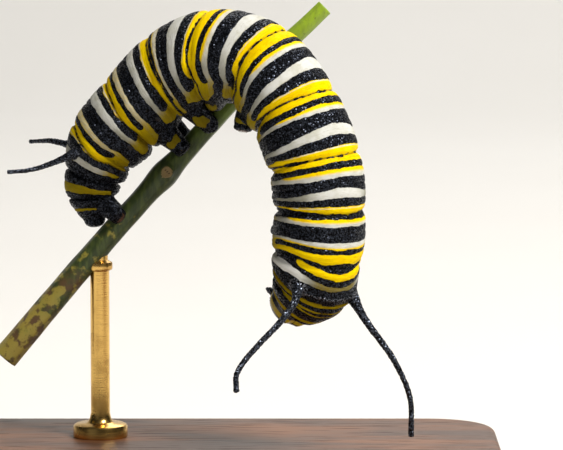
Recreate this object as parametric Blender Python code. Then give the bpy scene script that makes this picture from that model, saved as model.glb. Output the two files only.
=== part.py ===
"""A full-grown monarch larva arched over a cut length of milkweed stem, on a plain display stand.

Metres, +Z up. The origin is the middle of the stand's underside, and +X runs along the stand towards the
larva's head. The body hangs on one curved line. Each segment is a barrel between two sections of that line,
with a thin cut between neighbours, and each leg, proleg and filament is a tapered tube that starts inside the
body and is trimmed back by a slightly fattened copy of it.
"""

from math import cos, pi, radians, sin, tan

import bmesh
import bpy
from mathutils import Vector

MM = 0.001
GAP = 0.3 * MM  # clear space between neighbouring pieces

# The stand: a flat base and one rod with a foot, up to the underside of the stem
BASE_LENGTH = 42.0 * MM
BASE_WIDTH = 28.0 * MM
BASE_THICKNESS = 3.0 * MM
BASE_CORNER = 5.0 * MM
BASE_EDGE = 0.6 * MM
ROD_RADIUS = 0.7 * MM
ROD_FOOT_RADIUS = 2.0 * MM
ROD_FOOT_HEIGHT = 0.7 * MM
ROD_ON_STEM = 0.28  # how far along the stem the rod meets it

# The perch: its middle line, low end first, in millimetres, and its thickness
STEM_LINE = [(-15.2, 4.4, 8.9), (-9.0, 4.8, 16.2), (-2.8, 5.4, 23.1), (3.7, 6.5, 30.1), (8.2, 7.0, 34.4)]
STEM_LOW_RADIUS = 0.95 * MM
STEM_HIGH_RADIUS = 0.6 * MM
STEM_NODE_AT = 0.47  # the swelling where a pair of leaves was cut off
STEM_NODE_SWELLING = 0.22 * MM
STEM_POINTS = 26

# The body, head end first. Each row is the front of a segment: the middle of that section in millimetres, its
# radius in millimetres, how far the back has turned from facing the front (-Y) towards the outside of the
# bend, and how far the section leans, its back ahead of its belly, both in degrees.
SEGMENTS = [
    ("prothorax", (6.19, -0.22, 13.32), 2.0, 33, 0),
    ("mesothorax", (7.07, -0.89, 14.62), 2.92, 33, 2),
    ("metathorax", (7.52, -1.4, 16.96), 3.3, 34, 3),
    ("abdomen_1", (7.73, -1.47, 20.31), 3.35, 30, 3),
    ("abdomen_2", (7.38, -1.15, 23.7), 3.4, 29, 2),
    ("abdomen_3", (5.9, -0.1, 27.25), 3.42, 54, 0),
    ("abdomen_4", (3.4, 1.45, 30.3), 3.5, 70, 6),
    ("abdomen_5", (-0.25, 3.2, 30.9), 3.52, 76, 10),
    ("abdomen_6", (-3.4, 4.75, 29.25), 3.35, 80, 12),
    ("abdomen_7", (-5.95, 5.25, 26.5), 3.2, 84, 10),
    ("abdomen_8", (-7.95, 5.45, 24.3), 2.85, 85, 8),
    ("abdomen_9", (-8.6, 5.6, 22.15), 2.3, 85, 4),
    ("abdomen_10", (-8.8, 5.6, 20.55), 1.85, 85, 0),
    ("tail_end", (-8.55, 5.45, 19.0), 0.9, 85, 0),
]
SECTION_SIDES = 32
SEGMENT_RINGS = 6  # steps along a segment
PINCH_BACK = 0.03  # share of the radius lost at the fold between segments, at the back
PINCH_BELLY = 0.15  # and under the belly
BELLY_FLAT = 0.06  # share of the radius lost under the belly

# The head: half sizes, the place of its middle in millimetres, and how far the face is tucked down
HEAD_HALF = (1.75 * MM, 1.4 * MM, 1.8 * MM)
HEAD_MIDDLE = (5.78, 0.95, 13.32)
HEAD_TUCK = 15
ANTENNA_LENGTH = 0.95 * MM
ANTENNA_RADIUS = 0.27 * MM

# Filaments: the place on the body (segment and share of it, degrees from the back towards the right side),
# the points that it passes on the way to its tip, in millimetres, and its radii at root and tip
FILAMENTS = {
    "tentacle_front_right": ((1.45, 52), [(4.9, -6.6, 12.9), (3.2, -8.9, 11.4), (2.0, -10.5, 10.0),
                                          (1.9, -11.3, 8.8)], 0.42, 0.2),
    "tentacle_front_left": ((1.28, -46), [(11.2, -2.3, 12.3), (13.0, -2.6, 9.8), (14.2, -2.9, 7.1),
                                          (14.3, -3.2, 4.4)], 0.42, 0.2),
    "tentacle_rear_right": ((10.5, 42), [(-12.2, 4.3, 23.0), (-13.5, 4.0, 22.7), (-14.8, 3.8, 22.6)], 0.32, 0.15),
    "tentacle_rear_left": ((10.5, -42), [(-11.9, 8.2, 24.5), (-12.8, 9.3, 24.4), (-13.6, 10.2, 24.3)], 0.32, 0.15),
}
FILAMENT_POINTS = 14
FILAMENT_ROOT_FLARE = 1.5  # times the root radius, where the filament stands on its black ring

# Legs: each pair's degrees from the back and its length, then a leg's way from the body as shares of that
# length, outward, inward and forward, each with a radius in millimetres
LEGS = [(160, 1.9 * MM), (160, 2.1 * MM), (167, 2.0 * MM)]
LEG_WAY = [(0.0, 0.0, 0.0, 0.5), (0.3, -0.02, 0.02, 0.46), (0.42, 0.0, 0.04, 0.38), (0.68, 0.1, 0.1, 0.34),
           (0.78, 0.2, 0.12, 0.24), (0.92, 0.38, 0.12, 0.2), (1.0, 0.5, 0.06, 0.08)]

# Prolegs and claspers
PROLEG_RADIUS = 0.8 * MM
FOOT_RADIUS = 0.62 * MM
FOOT_OUT = 0.42 * MM  # how far outside the stem's surface the middle of a gripping foot is
FREE_PROLEG_OUT = 0.65 * MM
FREE_PROLEG_FORWARD = 0.55 * MM
CLASPER_RADIUS = 0.75 * MM
# Each pair's place along the body, its degrees from the back, and how far round the stem its right and left
# foot reach, in degrees from the side of the stem that faces the body. The first pair has let go.
PROLEGS = {"proleg_3": (5.5, 156, None, None), "proleg_4": (6.5, 156, 50, 0), "proleg_5": (7.5, 156, 50, 40),
           "proleg_6": (8.5, 156, 50, 45), "clasper": (12.45, 138, 60, 60)}


def clear_scene():
    for obj in list(bpy.data.objects):
        bpy.data.objects.remove(obj, do_unlink=True)


def new_collection(name):
    collection = bpy.data.collections.new(name)
    bpy.context.scene.collection.children.link(collection)
    return collection


def finish(name, colour, roughness, metallic=0.0):
    material = bpy.data.materials.new(name)
    material.use_nodes = True
    shader = material.node_tree.nodes["Principled BSDF"]
    shader.inputs["Base Color"].default_value = (*colour, 1.0)
    shader.inputs["Roughness"].default_value = roughness
    shader.inputs["Metallic"].default_value = metallic
    material.diffuse_color = (*colour, 1.0)
    return material


def add_object(name, mesh, collection, material=None):
    obj = bpy.data.objects.new(name, mesh)
    collection.objects.link(obj)
    if material:
        mesh.materials.append(material)
    mesh.shade_smooth()
    mesh.set_sharp_from_angle(angle=radians(50))
    return obj


def add_bmesh(name, bm, collection, material=None):
    bmesh.ops.recalc_face_normals(bm, faces=bm.faces)
    if bm.calc_volume(signed=True) < 0:
        bmesh.ops.reverse_faces(bm, faces=bm.faces)
    mesh = bpy.data.meshes.new(name)
    bm.to_mesh(mesh)
    bm.free()
    return add_object(name, mesh, collection, material)


def curve_value(values, u):
    """A smooth curve through evenly numbered values, at place u."""
    i = min(int(u), len(values) - 2)
    t = u - i
    before = values[i - 1] if i > 0 else 2 * values[0] - values[1]
    after = values[i + 2] if i + 2 < len(values) else 2 * values[-1] - values[-2]
    a, b = values[i], values[i + 1]
    return 0.5 * (2 * a + (b - before) * t + (2 * before - 5 * a + 4 * b - after) * t**2
                  + (3 * a - before - 3 * b + after) * t**3)


MIDDLES = [Vector(row[1]) * MM for row in SEGMENTS]
RADII = [row[2] * MM for row in SEGMENTS]
ROLLS = [float(row[3]) for row in SEGMENTS]
LEANS = [float(row[4]) for row in SEGMENTS]
LAST = len(SEGMENTS) - 1
TAILWARDS = [(MIDDLES[min(i + 1, LAST)] - MIDDLES[max(i - 1, 0)]).normalized() for i in range(LAST + 1)]


def section(u):
    """The middle of the body at u, with its tailward, back and right-hand directions."""
    tailward = curve_value(TAILWARDS, u).normalized()
    front = Vector((0, -1, 0))
    front = (front - front.dot(tailward) * tailward).normalized()
    outside = tailward.cross(front)
    roll = radians(curve_value(ROLLS, u))
    back = cos(roll) * front + sin(roll) * outside
    return curve_value(MIDDLES, u), tailward, back, back.cross(tailward)


def body_point(u, degrees, fatter=0.0, share=1.0):
    """A point on the body's surface, at u along it and so many degrees from the back towards the right."""
    middle, tailward, back, right = section(u)
    across, up = sin(radians(degrees)), cos(radians(degrees))
    from_middle = abs(2 * (u - int(u)) - 1) if u < LAST else 1.0
    pinch = (PINCH_BACK + (PINCH_BELLY - PINCH_BACK) * (1 - up) / 2) * from_middle**4
    size = curve_value(RADII, u) * (1 - pinch) * (1 - BELLY_FLAT * max(0.0, -up) ** 2)
    size = (size + fatter) * share
    lean = tan(radians(curve_value(LEANS, u))) * size * up
    return middle + size * (up * back + across * right) - lean * tailward


def ring_at(u, shift=0.0, fatter=0.0):
    """One section of the body as a loop of points, moved along the body by shift."""
    move = section(u)[1] * shift
    return [body_point(u, 360 * k / SECTION_SIDES, fatter) + move for k in range(SECTION_SIDES)]


def loft(name, rings, collection, material=None):
    """A closed solid through a row of loops with equal numbers of points."""
    bm = bmesh.new()
    loops = [[bm.verts.new(point) for point in ring] for ring in rings]
    for one, other in zip(loops, loops[1:]):
        for k in range(len(one)):
            j = (k + 1) % len(one)
            bm.faces.new((one[k], one[j], other[j], other[k]))
    bm.faces.new(loops[0])
    bm.faces.new(loops[-1])
    return add_bmesh(name, bm, collection, material)


def make_segments(collection, material):
    for i, row in enumerate(SEGMENTS[:-1]):
        name = row[0]
        front_shift = GAP / 2
        if name == "prothorax":
            front_shift = 0.0
        rings = [ring_at(i, front_shift)]
        rings += [ring_at(i + k / SEGMENT_RINGS) for k in range(1, SEGMENT_RINGS)]
        if i + 1 == LAST:
            rings += tail_rings()
        else:
            rings.append(ring_at(i + 1, -GAP / 2))
        loft(name, rings, collection, material)


def tail_rings():
    """The last rings of the body, closing it in a low dome, the anal plate."""
    middle, tailward, _, _ = section(LAST)
    last = ring_at(LAST)
    rings = [last]
    for share, along in ((0.8, 0.35), (0.4, 0.6)):
        rings.append([middle + (point - middle) * share + tailward * along * RADII[-1] for point in last])
    return rings


def make_body_cutter(collection):
    """The whole body as one solid, fatter by the gap, which trims whatever stands on it."""
    steps = LAST * SEGMENT_RINGS
    rings = [ring_at(0, -GAP, GAP)]
    rings += [ring_at(k / SEGMENT_RINGS, 0.0, GAP) for k in range(1, steps)]
    rings.append(ring_at(LAST, GAP, GAP))
    return as_cutter(loft("body_cutter", rings, collection))


def as_cutter(obj):
    obj.hide_render = True
    obj.display_type = "WIRE"
    return obj


def cut(obj, cutter):
    modifier = obj.modifiers.new("cut_" + cutter.name, "BOOLEAN")
    modifier.operation = "DIFFERENCE"
    modifier.solver = "EXACT"
    modifier.object = cutter


def tube(name, points, radii, collection, material=None, sides=2):
    """A tapered tube with closed ends, as a mesh. It has 4 + 4 * sides flats around."""
    curve = bpy.data.curves.new(name + "_line", "CURVE")
    curve.dimensions = "3D"
    curve.bevel_depth = 1.0
    curve.bevel_resolution = sides
    curve.use_fill_caps = True
    spline = curve.splines.new("POLY")
    spline.points.add(len(points) - 1)
    for place, point, radius in zip(spline.points, points, radii):
        place.co = (*point, 1.0)
        place.radius = radius
    line = bpy.data.objects.new(name + "_line", curve)
    collection.objects.link(line)
    bpy.context.view_layer.update()
    graph = bpy.context.evaluated_depsgraph_get()
    mesh = bpy.data.meshes.new_from_object(line.evaluated_get(graph))
    bpy.data.objects.remove(line, do_unlink=True)
    bm = bmesh.new()
    bm.from_mesh(mesh)
    bmesh.ops.remove_doubles(bm, verts=bm.verts, dist=0.001 * MM)
    bpy.data.meshes.remove(mesh)
    return add_bmesh(name, bm, collection, material)


def make_filaments(collection, material, cutter):
    for name, (place, way, root_radius, tip_radius) in FILAMENTS.items():
        line = [body_point(*place)] + [Vector(p) * MM for p in way]
        points, radii = [body_point(*place, share=0.75)], [root_radius * FILAMENT_ROOT_FLARE * MM]
        for k in range(FILAMENT_POINTS):
            t = k / (FILAMENT_POINTS - 1)
            flare = 1 + (FILAMENT_ROOT_FLARE - 1) * max(0.0, 1 - t * 8)
            points.append(curve_value(line, t * (len(line) - 1)))
            radii.append((root_radius + (tip_radius - root_radius) * t) * flare * MM)
        end = (points[-1] - points[-2]).normalized()
        points.append(points[-1] + end * tip_radius * 0.8 * MM)
        radii.append(tip_radius * 0.45 * MM)
        cut(tube(name, points, radii, collection, material), cutter)


def make_legs(collection, material, cutter):
    """Three pairs of jointed legs under the thorax, bent in to a claw."""
    for i, (angle, length) in enumerate(LEGS):
        for side, turn in (("right", 1), ("left", -1)):
            middle, tailward, _, right = section(i + 0.5)
            root = body_point(i + 0.5, turn * angle)
            outward = (root - middle).normalized()
            points, radii = [body_point(i + 0.5, turn * angle, share=0.7)], [LEG_WAY[0][3] * MM]
            for out, inward, forward, radius in LEG_WAY:
                way = outward * out - right * turn * inward - tailward * forward
                points.append(root + way * length)
                radii.append(radius * MM)
            cut(tube(f"leg_{i + 1}_{side}", points, radii, collection, material), cutter)


def stem_point(t):
    """The stem's middle line from its low end, 0, to its high end, 1."""
    return curve_value([Vector(p) * MM for p in STEM_LINE], t * (len(STEM_LINE) - 1))


def stem_radius(t):
    swelling = STEM_NODE_SWELLING * max(0.0, 1 - abs(t - STEM_NODE_AT) / 0.05)
    return STEM_LOW_RADIUS + (STEM_HIGH_RADIUS - STEM_LOW_RADIUS) * t + swelling


def nearest_on_stem(point):
    steps = 200
    return min((k / steps for k in range(steps + 1)), key=lambda t: (stem_point(t) - point).length)


def make_stem(name, collection, material, fatter=0.0):
    places = [k / (STEM_POINTS - 1) for k in range(STEM_POINTS)]
    radii = [stem_radius(t) + fatter for t in places]
    return tube(name, [stem_point(t) for t in places], radii, collection, material, sides=4)


def make_prolegs(collection, material, cutters):
    """The fleshy legs of the belly, each foot on the side of the stem or hanging free."""
    for name, (u, angle, *reaches) in PROLEGS.items():
        middle, tailward, _, right = section(u)
        radius = CLASPER_RADIUS if name == "clasper" else PROLEG_RADIUS
        for side, turn, reach in (("right", 1, reaches[0]), ("left", -1, reaches[1])):
            root = body_point(u, turn * angle)
            foot = root + (root - middle).normalized() * FREE_PROLEG_OUT - tailward * FREE_PROLEG_FORWARD
            if reach is not None:
                foot = stem_foothold(root, right * turn, radians(reach))
            points = [body_point(u, turn * angle, share=0.72), root, root.lerp(foot, 0.6), foot]
            radii = [radius, radius, radius * 0.85, FOOT_RADIUS]
            obj = tube(f"{name}_{side}", points, radii, collection, material)
            for cutter in cutters:
                cut(obj, cutter)


def stem_foothold(root, aside, reach):
    """The middle of a foot that starts at root and goes round the stem by an angle, towards aside."""
    t = nearest_on_stem(root)
    along = (stem_point(t + 0.02) - stem_point(t - 0.02)).normalized()
    facing = root - stem_point(t)
    facing = (facing - facing.dot(along) * along).normalized()
    around = along.cross(facing)
    if around.dot(aside) < 0:
        around.negate()
    return stem_point(t) + (cos(reach) * facing + sin(reach) * around) * (stem_radius(t) + FOOT_OUT)


def make_head(collection, material, body_cutter):
    """The hard head shell: two rounded lobes, a flat face, and the lip and jaws under it."""
    _, tailward, back, right = section(0)
    tuck = radians(HEAD_TUCK)
    forward = -tailward * cos(tuck) - back * sin(tuck)
    upward = back * cos(tuck) - tailward * sin(tuck)
    middle = Vector(HEAD_MIDDLE) * MM

    def placed(x, y, z):
        return middle + right * x + forward * y + upward * z

    pieces = []
    bm = bmesh.new()
    bmesh.ops.create_uvsphere(bm, u_segments=28, v_segments=18, radius=1.0)
    for vert in bm.verts:
        x, y, z = vert.co
        narrow = 1 - 0.3 * max(0.0, -z) ** 1.5
        cleft = 0.12 * max(0.0, z) ** 2 * max(0.0, 1 - (x / 0.3) ** 2)
        flat_face = 0.88 if y > 0 else 1.0
        vert.co = placed(x * narrow * HEAD_HALF[0], y * flat_face * HEAD_HALF[1], (z - cleft) * HEAD_HALF[2])
    pieces.append(add_bmesh("head", bm, collection, material))
    chin = -HEAD_HALF[2]
    for turn in (-1, 1):
        jaw = bmesh.new()
        bmesh.ops.create_uvsphere(jaw, u_segments=12, v_segments=8, radius=1.0)
        for vert in jaw.verts:
            x, y, z = vert.co
            vert.co = placed(turn * 0.42 * MM + x * 0.42 * MM, 0.55 * MM + y * 0.4 * MM, chin * 0.92 + z * 0.5 * MM)
        pieces.append(add_bmesh(f"jaw_{turn}", jaw, collection, material))
    lip = bmesh.new()
    bmesh.ops.create_cube(lip, size=1.0)
    bmesh.ops.bevel(lip, geom=lip.edges[:], offset=0.16, segments=2, profile=0.5, affect="EDGES")
    for vert in lip.verts:
        x, y, z = vert.co
        vert.co = placed(x * 1.15 * MM, 0.93 * MM + y * 0.3 * MM, chin * 0.82 + z * 0.5 * MM)
    pieces.append(add_bmesh("lip", lip, collection, material))
    head = fuse(pieces, collection)
    cut(head, body_cutter)
    for side, turn in (("right", 1), ("left", -1)):
        root = placed(turn * 0.95 * MM, 0.75 * MM, chin * 0.66)
        out = (placed(turn * 1.02 * MM, 1.35 * MM, chin * 1.05) - root).normalized()
        reach = [root + out * GAP, root + out * (ANTENNA_LENGTH * 0.5), root + out * ANTENNA_LENGTH]
        radii = [ANTENNA_RADIUS, ANTENNA_RADIUS * 0.85, ANTENNA_RADIUS * 0.4]
        feeler = tube("antenna_" + side, reach, radii, collection, material, sides=1)
        cut(feeler, head_cutter(head, middle))


def head_cutter(head, middle):
    """A copy of the head, fatter by the gap, made once."""
    found = bpy.data.objects.get("head_cutter")
    if found:
        return found
    mesh = head.data.copy()
    mesh.materials.clear()
    for vert in mesh.vertices:
        vert.co += (vert.co - middle).normalized() * GAP
    cutter = bpy.data.objects.new("head_cutter", mesh)
    bpy.data.collections["cutters"].objects.link(cutter)
    return as_cutter(cutter)


def fuse(pieces, collection):
    """One Boolean union of closed pieces, applied, keeping the first piece's object."""
    body, others = pieces[0], pieces[1:]
    group = new_collection("joining")
    for obj in others:
        collection.objects.unlink(obj)
        group.objects.link(obj)
    modifier = body.modifiers.new("join", "BOOLEAN")
    modifier.operation = "UNION"
    modifier.solver = "EXACT"
    modifier.operand_type = "COLLECTION"
    modifier.collection = group
    bpy.context.view_layer.update()
    graph = bpy.context.evaluated_depsgraph_get()
    mesh = bpy.data.meshes.new_from_object(body.evaluated_get(graph))
    body.modifiers.clear()
    body.data = mesh
    for obj in list(group.objects):
        bpy.data.objects.remove(obj, do_unlink=True)
    bpy.data.collections.remove(group)
    return body


def make_stand(collection, wood, brass, stem_cutter):
    bm = bmesh.new()
    bmesh.ops.create_cube(bm, size=1.0)
    bmesh.ops.scale(bm, vec=(BASE_LENGTH, BASE_WIDTH, BASE_THICKNESS), verts=bm.verts)
    bmesh.ops.translate(bm, vec=(0, 0, BASE_THICKNESS / 2), verts=bm.verts)
    upright = [e for e in bm.edges if abs(e.verts[0].co.z - e.verts[1].co.z) > BASE_THICKNESS / 2]
    bmesh.ops.bevel(bm, geom=upright, offset=BASE_CORNER, segments=8, profile=0.5, affect="EDGES")
    rim = [e for e in bm.edges if min(v.co.z for v in e.verts) > BASE_THICKNESS * 0.99]
    bmesh.ops.bevel(bm, geom=rim, offset=BASE_EDGE, segments=3, profile=0.5, affect="EDGES")
    add_bmesh("stand_base", bm, collection, wood)

    top = stem_point(ROD_ON_STEM)
    floor = BASE_THICKNESS + GAP
    profile = [(ROD_FOOT_RADIUS, floor), (ROD_FOOT_RADIUS, floor + ROD_FOOT_HEIGHT),
               (ROD_RADIUS, floor + ROD_FOOT_HEIGHT), (ROD_RADIUS, top.z)]
    rings = [[Vector((top.x + r * cos(2 * pi * k / 20), top.y + r * sin(2 * pi * k / 20), z)) for k in range(20)]
             for r, z in profile]
    cut(loft("stand_rod", rings, collection, brass), stem_cutter)


def main():
    clear_scene()
    model = new_collection("monarch_larva")
    cutters = new_collection("cutters")
    skin = finish("striped_skin", (0.78, 0.66, 0.18), 0.5)
    shell = finish("black_cuticle", (0.02, 0.02, 0.024), 0.35)
    green = finish("milkweed_stem", (0.16, 0.26, 0.06), 0.6)
    wood = finish("walnut", (0.16, 0.09, 0.05), 0.45)
    brass = finish("brass", (0.8, 0.6, 0.28), 0.3, 1.0)

    body_cutter = make_body_cutter(cutters)
    stem_cutter = as_cutter(make_stem("stem_cutter", cutters, None, GAP))
    make_segments(model, skin)
    make_head(model, shell, body_cutter)
    make_filaments(model, shell, body_cutter)
    make_legs(model, shell, body_cutter)
    make_prolegs(model, shell, (body_cutter, stem_cutter))
    make_stem("perch_stem", model, green)
    make_stand(model, wood, brass, stem_cutter)


main()
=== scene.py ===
import functools
from math import cos, exp, floor, hypot, pi, radians, sin, tan

import bmesh
import bpy
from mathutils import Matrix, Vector, noise


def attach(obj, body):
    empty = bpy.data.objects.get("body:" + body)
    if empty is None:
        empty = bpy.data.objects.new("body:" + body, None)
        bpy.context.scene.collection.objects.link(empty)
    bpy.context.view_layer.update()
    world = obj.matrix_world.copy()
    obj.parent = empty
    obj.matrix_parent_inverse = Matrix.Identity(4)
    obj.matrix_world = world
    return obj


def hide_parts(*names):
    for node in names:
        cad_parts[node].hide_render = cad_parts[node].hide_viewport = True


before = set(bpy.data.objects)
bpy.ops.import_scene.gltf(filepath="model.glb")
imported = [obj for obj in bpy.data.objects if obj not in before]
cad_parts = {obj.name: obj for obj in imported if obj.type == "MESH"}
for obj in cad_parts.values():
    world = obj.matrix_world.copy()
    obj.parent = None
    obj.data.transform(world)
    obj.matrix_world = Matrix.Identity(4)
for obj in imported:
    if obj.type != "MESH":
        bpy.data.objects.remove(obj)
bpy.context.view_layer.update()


# The base is one small block of oiled walnut. Its corners and its top edge are rounded over, and the
# underside is flat. The grain runs along the block, and the open pores show as short dark strokes.
MM = 0.001
BASE_LENGTH, BASE_WIDTH, BASE_THICKNESS = 42.0 * MM, 28.0 * MM, 3.0 * MM
BASE_CORNER, BASE_EDGE, BASE_FOOT_EDGE = 5.0 * MM, 0.6 * MM, 0.15 * MM


class Socket:
    """An output of a shader node. Arithmetic on it adds Math nodes."""

    def __init__(self, finish, link):
        self.finish, self.link = finish, link

    def math(self, operation, *values):
        return self.finish.node("Math", {"operation": operation}, dict(enumerate(values)))

    def __add__(self, other):
        return self.math("ADD", self, other)

    def __sub__(self, other):
        return self.math("SUBTRACT", self, other)

    def __rsub__(self, other):
        return self.math("SUBTRACT", other, self)

    def __mul__(self, other):
        return self.math("MULTIPLY", self, other)

    __radd__, __rmul__ = __add__, __mul__

    def step(self, low, high):
        """0 up to low, 1 from high on, and smooth between them."""
        sockets = {"Value": self, "From Min": low, "From Max": high}
        return self.finish.node("MapRange", {"interpolation_type": "SMOOTHSTEP"}, sockets)


class Finish:
    """A material. Its node method adds any node, and its set method feeds the main shader."""

    def __init__(self, name):
        self.material = bpy.data.materials.new(name)
        self.material.use_nodes = True
        self.tree = self.material.node_tree
        self.place = self.node("TexCoord", {}, {}, "Object")

    def feed(self, node, sockets):
        for key, value in sockets.items():
            if isinstance(value, Socket):
                self.tree.links.new(value.link, node.inputs[key])
            else:
                node.inputs[key].default_value = value

    def node(self, kind, settings, sockets, output=0):
        node = self.tree.nodes.new("ShaderNode" + kind)
        for key, value in settings.items():
            setattr(node, key, value)
        self.feed(node, sockets)
        return Socket(self, node.outputs[output])

    def set(self, sockets):
        self.feed(self.tree.nodes["Principled BSDF"], sockets)

    def mark(self, name):
        return self.node("Attribute", {"attribute_name": name}, {}, "Fac")

    def mix(self, share, one, other):
        return self.node("Mix", {"data_type": "RGBA"}, {0: share, 6: one, 7: other}, 2)

    def cloud(self, size, detail=2.0, stretch=(1, 1, 1)):
        """Soft noise from 0 to 1 whose lumps are about size metres across."""
        spread = self.node("Mapping", {}, {"Vector": self.place, "Scale": stretch})
        return self.node("TexNoise", {}, {"Vector": spread, "Scale": 1 / size, "Detail": detail})

    def grains(self, size, output="Distance"):
        """Rounded cells about size metres across: the distance from each middle, or a chance colour."""
        return self.node("TexVoronoi", {}, {"Vector": self.place, "Scale": 1 / size}, output)

    def facets(self, size):
        """Flat grains about size metres across, each tilted its own way: their height in millimetres."""
        def vectors(operation, one, other, output="Vector"):
            return self.node("VectorMath", {"operation": operation}, {0: one, 1: other}, output)
        tilt = vectors("SUBTRACT", self.grains(size, "Color"), (0.5, 0.5, 0.5))
        offset = vectors("SUBTRACT", self.place, self.grains(size, "Position"))
        return vectors("DOT_PRODUCT", offset, tilt, "Value") * (1 / MM)

    def bump(self, height):
        """A relief whose height is in millimetres."""
        self.set({"Normal": self.node("Bump", {}, {"Height": height, "Distance": MM}, "Normal")})


def colour(red, green, blue):
    """A colour as a screen shows it, 0 to 255, for a shader."""
    def linear(level):
        level /= 255
        return level / 12.92 if level <= 0.04045 else ((level + 0.055) / 1.055) ** 2.4
    return linear(red), linear(green), linear(blue), 1.0


def add_piece(name, bm, finish, slot, *nodes):
    """Closes a mesh with its faces outward, and lets it ride in place of the named nodes."""
    bmesh.ops.recalc_face_normals(bm, faces=bm.faces)
    if bm.calc_volume(signed=True) < 0:
        bmesh.ops.reverse_faces(bm, faces=bm.faces)
    mesh = bpy.data.meshes.new(name)
    bm.to_mesh(mesh)
    bm.free()
    mesh.materials.append(finish.material)
    mesh.shade_smooth()
    piece = bpy.data.objects.new(name, mesh)
    bpy.context.scene.collection.objects.link(piece)
    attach(piece, "root")
    if nodes:
        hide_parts(*nodes)
    return piece


walnut = Finish("oiled_walnut")
ring_bend = walnut.cloud(9 * MM, 2)
rings = walnut.cloud(2.2 * MM, 3, (0.12, 1, 1))
pores = walnut.cloud(0.22 * MM, 1, (0.06, 1, 1)).step(0.6, 0.72)
figure = (rings + ring_bend * 0.5 - 0.25).step(0.3, 0.7)
wood = walnut.mix(figure, colour(74, 45, 28), colour(128, 84, 54))
wood = walnut.mix(pores * 0.65, wood, colour(38, 22, 14))
walnut.set({"Base Color": wood, "Roughness": 0.38 + figure * 0.1 + pores * 0.2})
walnut.bump(0.03 * rings - 0.04 * pores)

bm = bmesh.new()
bmesh.ops.create_cube(bm, size=1.0)
bmesh.ops.scale(bm, vec=(BASE_LENGTH, BASE_WIDTH, BASE_THICKNESS), verts=bm.verts)
bmesh.ops.translate(bm, vec=(0, 0, BASE_THICKNESS / 2), verts=bm.verts)
upright = [e for e in bm.edges if abs(e.verts[0].co.z - e.verts[1].co.z) > BASE_THICKNESS / 2]
bmesh.ops.bevel(bm, geom=upright, offset=BASE_CORNER, segments=20, profile=0.5, affect="EDGES", material=-1)
for side, edge, steps in ((1, BASE_EDGE, 6), (-1, BASE_FOOT_EDGE, 2)):
    level = BASE_THICKNESS * (0.999 if side > 0 else 0.001)  # just inside the face that is rounded over
    rim = [e for e in bm.edges if all((v.co.z - level) * side > 0 for v in e.verts)]
    bmesh.ops.bevel(bm, geom=rim, offset=edge, segments=steps, profile=0.5, affect="EDGES", material=-1)
base = add_piece("stand_base_walnut", bm, walnut, "walnut", "stand_base")
base.data.set_sharp_from_angle(angle=radians(40))


# The perch is a cut length of milkweed stem, solid and pithy, with one swollen node that carries two flat
# scars. Its top is fresh green, darker green lower down, partly its own colour and partly painted shade, and
# its lower end is bruised brown. Both ends are cut square.
STEM_LINE = [(-15.2, 4.4, 8.9), (-9.0, 4.8, 16.2), (-2.8, 5.4, 23.1), (3.7, 6.5, 30.1), (8.2, 7.0, 34.4)]
STEM_LOW_RADIUS, STEM_HIGH_RADIUS = 0.95 * MM, 0.6 * MM
STEM_NODE_AT, STEM_NODE_LENGTH, STEM_NODE_SWELLING = 0.47, 0.03, 0.2 * MM
SCAR_WIDTH, SCAR_LENGTH, SCAR_AT = 0.13, 0.011, STEM_NODE_AT + 0.008  # in shares round and along the stem
VEIN_ENDS = (-0.45, 0.0, 0.45)
STEM_MARKS = ("cut_end", "height", "scar")
WELD = 1e-8


def curve_value(values, u):
    """A smooth curve through evenly numbered values, at place u."""
    i = max(0, min(int(u), len(values) - 2))
    t = u - i
    before = values[i - 1] if i > 0 else 2 * values[0] - values[1]
    after = values[i + 2] if i + 2 < len(values) else 2 * values[-1] - values[-2]
    a, b = values[i], values[i + 1]
    return 0.5 * (2 * a + (b - before) * t + (2 * before - 5 * a + 4 * b - after) * t**2
                  + (3 * a - before - 3 * b + after) * t**3)


def stem_point(t):
    """The stem's middle line from its low end, 0, to its high end, 1."""
    return curve_value([Vector(p) * MM for p in STEM_LINE], t * (len(STEM_LINE) - 1))


def stem_radius(t):
    swelling = STEM_NODE_SWELLING * exp(-((t - STEM_NODE_AT) / STEM_NODE_LENGTH) ** 2)
    return STEM_LOW_RADIUS + (STEM_HIGH_RADIUS - STEM_LOW_RADIUS) * t + swelling


def smooth(low, high, value):
    """0 up to low, 1 from high on, and smooth between them."""
    t = max(0.0, min(1.0, (value - low) / (high - low)))
    return t * t * (3 - 2 * t)


def rolled(along, around, place, marks=(), refine=None):
    """A sheet rolled into a tube whose ends are gathered shut. place(v, w) gives the point, v from 0 to 1
    along it and w from 0 to 1 around it, followed by the values of the marks there."""
    bm = bmesh.new()
    bm.loops.layers.uv.new("UVMap")
    bmesh.ops.create_grid(bm, x_segments=along, y_segments=around, size=0.5, calc_uvs=True)
    if refine:
        refine(bm)
    layers = [bm.verts.layers.float.new(mark) for mark in marks]
    for vert in bm.verts:
        point, *values = place(vert.co.x + 0.5, vert.co.y + 0.5)
        vert.co = point
        for layer, value in zip(layers, values):
            vert[layer] = value
    bmesh.ops.remove_doubles(bm, verts=bm.verts, dist=WELD)
    return bm


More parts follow.
